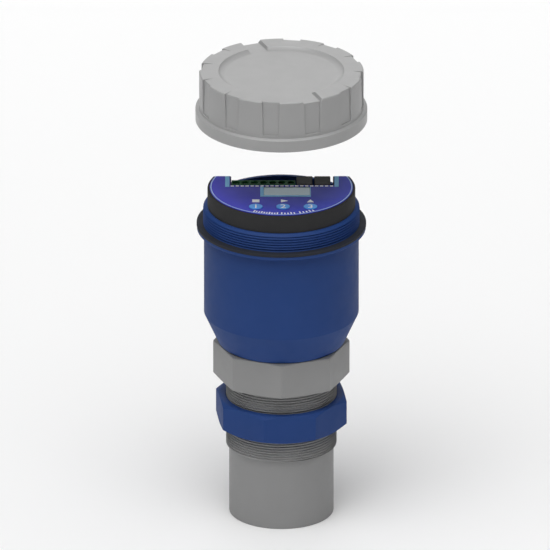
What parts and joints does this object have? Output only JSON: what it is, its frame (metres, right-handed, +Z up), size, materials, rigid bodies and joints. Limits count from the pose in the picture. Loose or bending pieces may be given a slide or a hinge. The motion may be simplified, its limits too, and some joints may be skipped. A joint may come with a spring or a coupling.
{
  "type": "water level sensor",
  "caption": "Ultrasonic water level sensor: round housing with display, keys and terminals, screw cap lifted off, octagonal screw-in fitting with lock nut and tube transducer.",
  "frame": {"origin": "centre of the sensor tube's lower end, which the sensor stands on", "axes": "+Z up the tube and housing axis, -Y towards the side that the keys and the display face, +Y towards the cable gland"},
  "size_m": [0.0932, 0.1134, 0.2585],
  "materials": {
    "blue_plastic": "satin moulded plastic",
    "grey_plastic": "satin moulded plastic",
    "cap_plastic": "satin moulded plastic",
    "black_rubber": "matt rubber",
    "black_plastic": "fine textured plastic",
    "relay_plastic": "smooth dark plastic",
    "panel_film": "printed film",
    "display_glass": "grey liquid crystal glass",
    "key_plastic": "smooth plastic",
    "circuit_board": "solder resist",
    "terminal_plastic": "moulded plastic",
    "plated_steel": "plated steel",
    "spacer_brass": "turned brass",
    "ferrite": "pressed ferrite",
    "capacitor_sleeve": "shrunk sleeve",
    "sensing_epoxy": "cast filled resin",
    "cast_resin": "cast resin",
    "foam": "closed cell foam",
    "piezo_ceramic": "fired ceramic",
    "lead_sheath": "cable sheath",
    "plug_plastic": "moulded plastic",
    "gland_plastic": "moulded polyamide"
  },
  "bodies": {
    "root": {"housing": "blue_plastic", "sealing_ring": "black_rubber", "process_fitting": "grey_plastic", "matching_layer": "sensing_epoxy", "piezo_disc": "piezo_ceramic", "damping_ring": "black_rubber", "backing_foam": "foam", "potting_plug": "cast_resin", "transducer_lead": "lead_sheath", "lead_plug": "plug_plastic", "module_case": "black_plastic", "panel_overlay": "panel_film", "display_board": "circuit_board", "lcd_frame": "black_plastic", "lcd_glass": "display_glass", "key_switches": "black_plastic", "terminal_block": "terminal_plastic", "terminal_screws": "plated_steel", "relay_left": "relay_plastic", "relay_right": "relay_plastic", "main_board": "circuit_board", "board_screws": "plated_steel", "board_spacers": "spacer_brass", "module_header": "black_plastic", "pulse_transformer": "ferrite", "capacitors": "capacitor_sleeve", "driver_chips": "black_plastic", "gland_body": "gland_plastic", "gland_washer": "black_rubber", "gland_seal": "black_rubber", "gland_nut": "gland_plastic"},
    "cap": {"cap": "cap_plastic"},
    "lock_nut": {"lock_nut": "blue_plastic"},
    "key_1": {"key_1": "key_plastic"},
    "key_2": {"key_2": "key_plastic"},
    "key_3": {"key_3": "key_plastic"}
  },
  "joints": [
    {"name": "cap_lift", "type": "slide", "parent": "root", "child": "cap", "axis": [0, 0, 1], "range_m": [-0.0605, 0]},
    {"name": "nut_travel", "type": "slide", "parent": "root", "child": "lock_nut", "axis": [0, 0, 1], "range_m": [-0.0127, 0.0113]},
    {"name": "key_1_press", "type": "slide", "parent": "root", "child": "key_1", "axis": [0, 0, 1], "range_m": [-0.0005, 0], "stiffness_N_per_m": 500},
    {"name": "key_2_press", "type": "slide", "parent": "root", "child": "key_2", "axis": [0, 0, 1], "range_m": [-0.0005, 0], "stiffness_N_per_m": 500},
    {"name": "key_3_press", "type": "slide", "parent": "root", "child": "key_3", "axis": [0, 0, 1], "range_m": [-0.0005, 0], "stiffness_N_per_m": 500}
  ]
}
